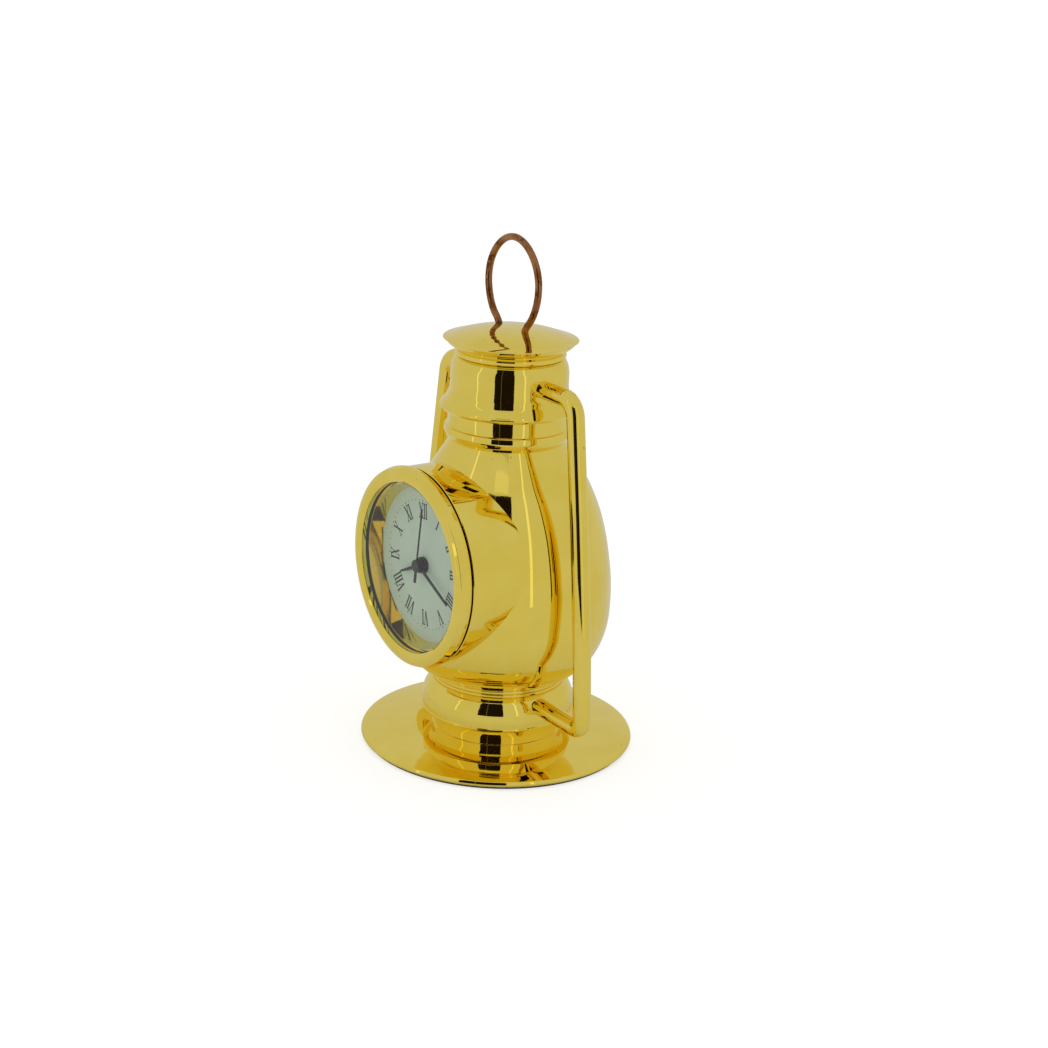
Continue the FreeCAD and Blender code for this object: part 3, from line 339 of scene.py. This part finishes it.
def line_arc_path(corners, per):
    """Path with round bends: corners are (x, z, bend radius); returns [(x, z, tx, tz)]."""
    pts = [Vector((c[0], c[1])) for c in corners]
    out = []

    def add(p, d):
        out.append((p.x, p.y, d.x, d.y))

    for i in range(len(pts)):
        if i == 0:
            add(pts[0], (pts[1] - pts[0]).normalized())
            continue
        if i == len(pts) - 1:
            add(pts[-1], (pts[-1] - pts[-2]).normalized())
            continue
        din = (pts[i] - pts[i - 1]).normalized()
        dout = (pts[i + 1] - pts[i]).normalized()
        turn = math.acos(max(-1.0, min(1.0, din.dot(dout))))
        radius = corners[i][2]
        back = radius * math.tan(turn / 2.0)
        sign = 1.0 if din.x * dout.y - din.y * dout.x > 0 else -1.0
        start = pts[i] - din * back
        centre = start + Vector((-din.y, din.x)) * sign * radius
        base = start - centre
        for k in range(per + 1):
            t = sign * turn * k / per
            c, s = math.cos(t), math.sin(t)
            p = centre + Vector((base.x * c - base.y * s, base.x * s + base.y * c))
            d = Vector((din.x * c - din.y * s, din.x * s + din.y * c))
            add(p, d)
    return out


# ---------------------------------------------------------------- body of the lantern
def case_skin(name, outline, arc_steps, node, material=gold):
    """Turned piece of the case; the outline is (radius, height, fillet) in mm."""
    turned(name, [rounded(outline, arc_steps)], material, "case", [node])


case_skin("base_plate_skin", [
    (3.2, 0.4), (21.6, 0.4), (22.0, 0.75, 0.35), (21.75, 1.32, 0.25), (19.4, 1.72, 12.0),
    (16.6, 2.06, 16.0), (13.6, 2.28, 16.0), (10.2, 2.4)], 40, "base_plate")
case_skin("felt_skin", [(NEAR_AXIS, 0.0), (21.3, 0.0, 0.12), (21.3, 0.42), (20.5, 0.42)], 6, "felt_pad",
          felt)
case_skin("foot_ring_skin", [
    (10.42, 2.3), (10.42, 2.44, 0.02), (10.31, 2.5, 0.03), (10.31, 3.9, 2.5), (10.55, 4.7, 1.2),
    (11.15, 5.35)], 24, "foot_ring")
case_skin("tank_skin", [
    (10.6, 5.3), (11.9, 5.32, 0.08), (12.28, 5.48, 0.14), (12.3, 5.78, 0.08), (12.2, 5.88, 0.03),
    (12.2, 6.8, 6.0), (11.98, 8.5, 4.0), (11.3, 9.8, 2.5), (10.68, 10.48, 0.3), (10.2, 10.56)], 30, "tank")


def collar_outline():
    """Two soft beads above the tank."""
    outline = [(9.8, 10.42)]
    for low in (10.45, 11.05):
        outline += [(10.3, low, 0.03), (10.55, low + 0.1, 0.16), (10.55, low + 0.48, 0.16)]
    return outline + [(10.3, 11.62, 0.03), (9.8, 11.66)]


case_skin("lower_collar_skin", collar_outline(), 12, "lower_collar")
case_skin("upper_collar_skin", [
    (8.7, 49.95), (9.05, 50.02, 0.1), (9.6, 50.6, 0.8), (9.98, 51.35, 0.7), (9.86, 52.25, 0.25),
    (9.55, 52.4, 0.05), (9.5, 52.55, 0.05), (9.42, 52.75, 0.1), (9.4, 54.85)], 14, "upper_collar")
case_skin("chimney_skin", [
    (9.2, 54.8), (10.35, 54.82, 0.1), (10.78, 55.3, 0.28), (10.5, 55.75, 0.3), (9.75, 56.7, 2.0),
    (9.28, 57.9, 2.4), (9.2, 59.0, 3.0), (9.2, 60.9, 3.0), (9.0, 62.0, 2.0), (8.55, 63.02, 0.7),
    (8.2, 63.12, 0.1), (7.9, 63.1, 0.05), (7.9, 58.0)], 26, "chimney_band")
case_skin("neck_skin", [
    (7.9, 61.5), (7.9, 63.05, 0.05), (8.15, 63.12, 0.05), (8.62, 63.4, 0.3), (8.66, 63.95, 0.35),
    (8.3, 64.3, 0.1), (8.3, 64.6)], 12, "neck")

DOME_R = 9.9
DOME_FOOT_Z = 65.95
DOME_RISE = 1.75


def cap_outline():
    """Underside and rolled rim, then a dome that steepens towards the rim."""
    outline = [(8.2, 64.4), (8.7, 64.52, 0.4), (9.6, 64.95, 1.5), (10.12, 65.6, 0.14), (10.16, 65.8, 0.12),
               (10.02, 65.93, 0.08)]
    for i in range(10):
        r = DOME_R * (1 - i / 10.0)
        outline.append((r, DOME_FOOT_Z + DOME_RISE * (1.0 - (r / DOME_R) ** 2.3), 6.0))
    return outline + [(0.02, DOME_FOOT_Z + DOME_RISE)]


case_skin("cap_skin", cap_outline(), 26, "cap")

# Globe and drum share one node: the globe is cut where the drum passes through it.
GLOBE_OUTER = [(10.45, 11.5), (10.6, 11.6), (12.6, 12.65), (14.95, 14.95), (16.35, 17.5), (17.2, 20.6),
               (17.43, 24), (17.33, 27.5), (16.9, 31), (16.15, 35), (15.0, 39), (13.3, 42.9),
               (11.3, 46.3), (9.0, 50.0), (8.7, 50.4)]
GLOBE_INNER = [(7.7, 50.0), (9.9, 46.0), (11.9, 42.7), (13.6, 39), (14.8, 35), (15.6, 31), (16.0, 27.5),
               (16.1, 24), (15.9, 21), (15.0, 18), (13.3, 15.0), (10.8, 13.1), (1.3, 13.1)]
CUT_R = 15.25


def globe_arrays():
    """Both walls of the globe, without the faces inside the drum; the cut edge is moved onto radius CUT_R."""
    steps = 2 * STEPS
    verts, normals, faces = turned_arrays([curved(GLOBE_OUTER, 20), curved(GLOBE_INNER, 12)], steps)
    inside = [v[1] < 0 and math.hypot(v[0], v[2] - AXIS_Z) < CUT_R for v in verts]
    kept = [f for f in faces if not all(inside[i] for i in f)]
    for i in {i for f in kept for i in f if inside[i]}:
        x, y, z = verts[i]
        grow = CUT_R / max(1e-6, math.hypot(x, z - AXIS_Z))
        verts[i] = (x * grow, y, AXIS_Z + (z - AXIS_Z) * grow)
    return verts, normals, kept


def drum_arrays():
    """Bore, front edge and outside of the drum."""
    outline = [(14.0, -6.4), (14.0, -15.72), (14.08, -15.8, 0.05), (15.42, -15.82, 0.06),
               (15.5, -15.72, 0.05), (15.5, -14.6, 1.0), (15.5, -5.0)]
    verts, normals, faces = turned_arrays([rounded(outline, 14)])
    return to_dial_axis(verts), to_dial_axis(normals, False), faces


def globe_and_drum():
    verts, normals, faces = globe_arrays()
    drum_verts, drum_normals, drum_faces = drum_arrays()
    shift = len(verts)
    faces += [tuple(i + shift for i in f) for f in drum_faces]
    build("globe_skin", verts + drum_verts, normals + drum_normals, faces, gold, "case", ["globe_body"])


def side_tube(side, label):
    """Tube from the chimney band, bent over and leaning outwards, down into the tank."""
    corners = [(8.6, 59.7, 0), (17.05, 59.7, 3.0), (19.45, 41.7, 60.0), (21.75, 23.0, 60.0),
               (22.85, 8.9, 1.75), (11.6, 8.9, 0)]
    path = [(x * side, z, tx * side, tz) for x, z, tx, tz in line_arc_path(corners, 30)]
    verts, normals, faces = swept(path, 1.4, 72)
    build("side_tube_%s_skin" % label, verts, normals, faces, gold, "case", ["side_tube_%s" % label])


BAIL_WIDE = 6.62
BAIL_TALL = 7.24
BAIL_MID_Z = 74.15
BAIL_SWEEP = math.radians(44.0)
BAIL_STEPS = 96


def bail_points():
    """Slightly uneven hand-bent loop between two feet that enter the cap: (x, z)."""
    loop = []
    for i in range(BAIL_STEPS + 1):
        t = -BAIL_SWEEP + (math.pi + 2 * BAIL_SWEEP) * i / BAIL_STEPS
        waver = 0.06 * math.sin(2.0 * t + 0.6) + 0.04 * math.sin(5.0 * t)
        loop.append((math.cos(t) * (BAIL_WIDE + waver), BAIL_MID_Z + math.sin(t) * (BAIL_TALL + waver * 0.5)))
    right_foot = [(3.5, 66.6), (3.52, 67.2), (3.62, 67.75), (4.15, 68.45)]
    left_foot = [(-4.1, 68.45), (-3.5, 67.75), (-3.3, 67.2), (-3.3, 66.6)]
    return right_foot + loop + left_foot


def bail():
    points = bail_points()
    path = []
    for i, (x, z) in enumerate(points):
        before = points[max(0, i - 1)]
        after = points[min(len(points) - 1, i + 1)]
        d = Vector((after[0] - before[0], after[1] - before[1])).normalized()
        path.append((x, z, d.x, d.y))
    verts, normals, faces = swept(path, 0.55, 36)
    build("bail_skin", verts, normals, faces, wire, "case", ["bail_ring"])


globe_and_drum()
side_tube(1, "right")
side_tube(-1, "left")
bail()


# ---------------------------------------------------------------- clock insert
def insert_skin(name, outline, arc_steps, node, material):
    """Turned piece of the insert; the outline is (radius, world y, fillet) in mm."""
    turned(name, [rounded(outline, arc_steps)], material, "insert", [node], about_dial=True)


insert_skin("bezel_skin", [
    (13.95, -17.0), (13.34, -17.3, 0.05), (13.34, -18.04, 0.06), (13.75, -18.32, 0.5), (14.5, -18.46, 1.6),
    (15.44, -18.05, 0.12), (15.78, -17.1, 0.3), (15.72, -16.5, 0.12), (15.4, -16.05, 0.1),
    (14.9, -15.98, 0.05), (13.7, -15.98)], 30, "bezel", gold)
insert_skin("glass_skin", [(NEAR_AXIS, -17.9), (13.75, -17.9, 0.02), (13.93, -17.75, 0.05), (13.93, -17.1)],
            8, "glass", lens)
insert_skin("glass_edge", [(13.26, -17.99), (13.35, -17.99)], 2, "glass", glass_edge)
insert_skin("rehaut_skin", [(12.2, -14.77), (12.915, -16.97, 0.04), (13.9, -16.99)], 8, "rehaut", satin)
insert_skin("dial_skin", [(1.22, -14.46), (1.22, -14.76, 0.02), (12.9, -14.76)], 4, "dial", dial_paint)


def clockwise(points, degrees):
    """Points turned about the dial's centre, clockwise as seen from the front."""
    t = math.radians(degrees)
    c, s = math.cos(t), math.sin(t)
    return [(x * c + (z - AXIS_Z) * s, y, AXIS_Z - x * s + (z - AXIS_Z) * c) for x, y, z in points]


class Prisms:
    """Collects flat plates, with outlines (right, up) seen from the front at 12, into one mesh."""

    def __init__(self):
        self.verts = []
        self.faces = []

    def add(self, outline, front, back, turn):
        n = len(outline)
        start = len(self.verts)
        ring = [(x, front, AXIS_Z + u) for x, u in outline] + [(x, back, AXIS_Z + u) for x, u in outline]
        self.verts += clockwise(ring, turn)
        self.faces.append(tuple(start + i for i in range(n)))
        self.faces.append(tuple(start + n + i for i in reversed(range(n))))
        for i in range(n):
            j = (i + 1) % n
            self.faces.append((start + j, start + i, start + n + i, start + n + j))

    def disc(self, up, r, front, back, turn, count):
        angles = [2 * math.pi * k / count for k in range(count)]
        self.add([(r * math.cos(t), up + r * math.sin(t)) for t in angles], front, back, turn)

    def finish(self, name, material, body, nodes):
        obj = build(name, self.verts, None, self.faces, material, body, nodes)
        for polygon in obj.data.polygons:
            polygon.use_smooth = False
        bm = bmesh.new()
        bm.from_mesh(obj.data)
        bmesh.ops.recalc_face_normals(bm, faces=bm.faces)
        bm.to_mesh(obj.data)
        bm.free()


# Dial print: numerals of thick and hairline strokes with slab serifs, and a ring of minute dots.
DIAL_TURN = -4.5          # the insert sits slightly turned in the drum, degrees
NUMERAL_R = 8.55
NUMERAL_HALF = 1.15
PRINT_FRONT = -14.785
PRINT_BACK = -14.762
THICK = 0.26
HAIRLINE = 0.10
SERIF_HALF_T = 0.07
SPREAD = 0.42
ADVANCE = {"I": 0.56, "V": 1.22, "X": 1.26}
NUMERALS = ["XII", "I", "II", "III", "IIII", "V", "VI", "VII", "VIII", "IX", "X", "XI"]


def stroke(plates, low_x, high_x, width, turn):
    """Slanted or upright bar from the foot of the numeral to its head."""
    h = width / 2.0
    foot, head = NUMERAL_R - NUMERAL_HALF, NUMERAL_R + NUMERAL_HALF
    plates.add([(low_x - h, foot), (low_x + h, foot), (high_x + h, head), (high_x - h, head)],
               PRINT_FRONT, PRINT_BACK, turn)


def serif(plates, x, top, turn, half=0.25):
    u = NUMERAL_R + (NUMERAL_HALF if top else -NUMERAL_HALF)
    low, high = u - SERIF_HALF_T, u + SERIF_HALF_T
    plates.add([(x - half, low), (x + half, low), (x + half, high), (x - half, high)],
               PRINT_FRONT - 0.002, PRINT_BACK, turn)


def letter(plates, c, mid, turn):
    if c == "I":
        stroke(plates, mid, mid, 0.25, turn)
        serif(plates, mid, True, turn)
        serif(plates, mid, False, turn)
    if c == "V":
        stroke(plates, mid + 0.04, mid - 0.40, THICK, turn)
        stroke(plates, mid + 0.04, mid + SPREAD, HAIRLINE, turn)
        serif(plates, mid - 0.40, True, turn, 0.24)
        serif(plates, mid + SPREAD, True, turn, 0.2)
    if c == "X":
        stroke(plates, mid + SPREAD, mid - SPREAD, THICK, turn)
        stroke(plates, mid - SPREAD, mid + SPREAD, HAIRLINE, turn)
        for x in (-SPREAD, SPREAD):
            serif(plates, mid + x, True, turn, 0.22)
            serif(plates, mid + x, False, turn, 0.22)


def dial_print():
    numerals = Prisms()
    for hour, text in enumerate(NUMERALS):
        x = -sum(ADVANCE[c] for c in text) / 2.0
        for c in text:
            letter(numerals, c, x + ADVANCE[c] / 2.0, hour * 30.0 + DIAL_TURN)
            x += ADVANCE[c]
    numerals.finish("numerals", ink, "insert", ["dial_print"])
    dots = Prisms()
    for minute in range(60):
        r = 0.13 if minute % 5 == 0 else 0.085
        dots.disc(10.15, r, PRINT_FRONT, PRINT_BACK, minute * 6.0 + DIAL_TURN, 12)
    dots.finish("minute_dots", dot_ink, "insert", ["dial_print"])


def hand(name, blades, front, back, hub, body, turn):
    """Flat blades, with outlines (right, up), on a turned hub; the hub is (radius, world y, fillet)."""
    plates = Prisms()
    for outline in blades:
        plates.add(outline, front, back, turn + DIAL_TURN)
    plates.finish(name + "_blade", hand_black, body, [name])
    turned(name + "_hub", [rounded(hub, 10)], hand_black, body, [name], about_dial=True,
           steps=64)


dial_print()

# Hands on stacked hubs, at about 8:20; the turns are clockwise from 12, in degrees.
hand("hour_hand", [[(-0.3, 0.0), (0.3, 0.0), (0.26, 3.6), (0.15, 6.42), (-0.15, 6.42), (-0.26, 3.6)]],
     -15.4, -15.2,
     [(0.95, -15.4), (1.24, -15.4, 0.05), (1.3, -15.34, 0.04), (1.3, -15.0, 0.03), (1.0, -15.0)],
     "hour_set", 250.0)
hand("minute_hand", [[(-0.23, 0.0), (0.23, 0.0), (0.21, 5.0), (0.18, 9.05), (-0.18, 9.05), (-0.21, 5.0)]],
     -15.85, -15.65,
     [(0.6, -15.85), (1.1, -15.85, 0.05), (1.15, -15.8, 0.04), (1.15, -15.53, 0.03), (0.6, -15.53)],
     "minute_set", 120.2)
hand("second_hand", [[(-0.11, 0.0), (0.11, 0.0), (0.08, 9.6), (-0.08, 9.6)],
                     [(-0.25, -2.8), (0.25, -2.8), (0.22, 0.0), (-0.22, 0.0)]],
     -16.3, -16.1,
     [(NEAR_AXIS, -16.5), (0.9, -16.5, 0.06), (1.0, -16.4, 0.06), (1.0, -15.98, 0.03), (0.3, -15.98)],
     "second_set", 12.0)


def grip_outline():
    """Soft ribs of the rubber band around the can."""
    outline = [(13.6, -15.4, 0)]
    for i in range(4):
        y = -15.4 + i * 0.9
        outline += [(13.96, y + 0.05, 0.12), (13.96, y + 0.42, 0.12), (13.84, y + 0.5, 0.06),
                    (13.84, y + 0.88, 0.06)]
    return outline + [(13.6, -11.8)]


insert_skin("grip_skin", grip_outline(), 8, "grip_band", rubber)
insert_skin("can_skin", [
    (13.25, -16.7), (13.6, -16.7, 0.04), (13.6, -4.1, 0.1), (13.5, -4.0, 0.05), (13.25, -4.0)], 8,
    "insert_can", plate)


# ---------------------------------------------------------------- studio
TENT = 0.61               # brightness of the light tent all round
FLOOR_HALF = 6.0
BOUNCE_DROP = 0.0002      # the light-bouncing floor lies this far under the visible one
DOOR_DISTANCE = 0.18
DOOR_TOP = 0.204
EDGE_TOP = 0.27


def stage_plane(name, corners, material, camera=True, diffuse=True, glossy=True, see_through=True):
    """Studio face; the flags say which kinds of ray meet it."""
    mesh = bpy.data.meshes.new(name)
    mesh.from_pydata(corners, [], [tuple(range(len(corners)))])
    obj = bpy.data.objects.new(name, mesh)
    bpy.context.collection.objects.link(obj)
    mesh.materials.append(material)
    obj.visible_camera = camera
    obj.visible_diffuse = diffuse
    obj.visible_shadow = diffuse
    obj.visible_glossy = glossy
    obj.visible_transmission = see_through


def floor_material(name, low, high, rough, glow_strength):
    """Pale matt floor with a little light of its own."""
    mat = plain(name, (low,) * 3, (high,) * 3, rough, 2.0, (60.0, 1e-6))
    shader = mat.node_tree.nodes["Principled BSDF"]
    shader.inputs["Emission Color"].default_value = (1.0, 1.0, 1.0, 1.0)
    shader.inputs["Emission Strength"].default_value = glow_strength
    shader.inputs["Specular IOR Level"].default_value = 0.0
    return mat


def glow(name, color, strength):
    mat = bpy.data.materials.new(name)
    mat.use_nodes = True
    tree = mat.node_tree
    tree.nodes.clear()
    emit = tree.nodes.new("ShaderNodeEmission")
    emit.inputs["Color"].default_value = (*color, 1.0)
    emit.inputs["Strength"].default_value = strength
    out = tree.nodes.new("ShaderNodeOutputMaterial")
    tree.links.new(emit.outputs["Emission"], out.inputs["Surface"])
    return mat


def floor_corners(z):
    return [(-FLOOR_HALF, -FLOOR_HALF, z), (FLOOR_HALF, -FLOOR_HALF, z), (FLOOR_HALF, FLOOR_HALF, z),
            (-FLOOR_HALF, FLOOR_HALF, z)]


def backdrop():
    """White ring of panels at the floor's far edge, seen by the camera only."""
    white = glow("backdrop_white", (1.0, 1.0, 1.0), 1.05)
    for k in range(8):
        a0, a1 = math.radians(45 * k), math.radians(45 * (k + 1))
        x0, y0 = FLOOR_HALF * math.cos(a0), FLOOR_HALF * math.sin(a0)
        x1, y1 = FLOOR_HALF * math.cos(a1), FLOOR_HALF * math.sin(a1)
        stage_plane("backdrop_%d" % k, [(x0, y0, -0.01), (x1, y1, -0.01), (x1, y1, 9), (x0, y0, 9)], white,
                    diffuse=False, glossy=False, see_through=False)


def card(name, az_low, az_high, low, high, material):
    """Upright card seen only in reflections; azimuths run from -Y towards +X, heights in metres."""
    corners = []
    for az, z in ((az_low, low), (az_high, low), (az_high, high), (az_low, high)):
        a = math.radians(az)
        corners.append((math.sin(a) * DOOR_DISTANCE, -math.cos(a) * DOOR_DISTANCE, z))
    stage_plane(name, corners, material, camera=False, diffuse=False, see_through=False)


# The camera sees a glowing floor; the object is lit and mirrored by a plainer one just under it.
stage_plane("studio_floor", floor_corners(0), floor_material("studio_floor", 0.68, 0.72, (0.7, 0.9), 0.62),
            diffuse=False, glossy=False, see_through=False)
stage_plane("bounce_floor", floor_corners(-BOUNCE_DROP),
            floor_material("bounce_floor", 0.92, 0.94, (0.8, 0.9), 0.05), camera=False)
backdrop()

world = bpy.data.worlds.new("tent")
bpy.context.scene.world = world
world.use_nodes = True
background = world.node_tree.nodes["Background"]
background.inputs["Color"].default_value = (1.0, 1.0, 1.0, 1.0)
background.inputs["Strength"].default_value = TENT

# The dark doorway of the light tent on the camera's side, its lit edges and the panels above it.
dark = glow("dark_opening", (0.010, 0.007, 0.005), 1.0)
card("opening_left", 27.7, 40.0, 0.0, DOOR_TOP, dark)
card("opening_thread", 40.0, 40.9, 0.0, DOOR_TOP, glow("door_thread", (0.13, 0.11, 0.08), 1.0))
card("opening_right", 40.9, 64.5, 0.0, DOOR_TOP, dark)
card("panel_low", 36.0, 60.0, 0.212, 0.226, glow("panel_pale", (0.72, 0.72, 0.70), 1.0))
card("panel_high", 30.0, 60.0, 0.236, 0.268, glow("panel_tan", (0.50, 0.48, 0.42), 1.0))
bright = glow("bright_edge", (1.0, 0.99, 0.97), 0.95)
card("edge_left", -8.0, -5.4, 0.0, EDGE_TOP, bright)
card("edge_right", 83.2, 86.0, 0.0, EDGE_TOP, bright)


# ---------------------------------------------------------------- camera
AZIMUTH = math.radians(54.937)
ELEVATION = math.radians(17.702)
DISTANCE = 0.31842
AIM = Vector((0.0, 0.0, 0.036234))
PAN = -0.568
TILT = -0.046
ROLL = -2.211
FOCAL = 69.303            # mm, on the standard 36 mm sensor


def spun(v, axis, degrees):
    return Matrix.Rotation(math.radians(degrees), 3, axis) @ v


def aim_camera():
    """Camera on the aim's sphere, then panned, tilted and rolled in place."""
    level = math.cos(ELEVATION)
    back = Vector((math.sin(AZIMUTH) * level, -math.cos(AZIMUTH) * level, math.sin(ELEVATION)))
    place = AIM + back * DISTANCE
    forward = -back
    right = forward.cross(Vector((0, 0, 1))).normalized()
    up = right.cross(forward)
    forward, right = spun(forward, up, PAN), spun(right, up, PAN)
    forward, up = spun(forward, right, TILT), spun(up, right, TILT)
    right, up = spun(right, forward, ROLL), spun(up, forward, ROLL)
    data = bpy.data.cameras.new("camera")
    data.lens = FOCAL
    data.clip_start = 0.01
    camera = bpy.data.objects.new("camera", data)
    bpy.context.collection.objects.link(camera)
    camera.matrix_world = Matrix((
        (right.x, up.x, -forward.x, place.x),
        (right.y, up.y, -forward.y, place.y),
        (right.z, up.z, -forward.z, place.z),
        (0, 0, 0, 1)))
    bpy.context.scene.camera = camera


aim_camera()
bpy.context.scene.view_settings.view_transform = "Standard"
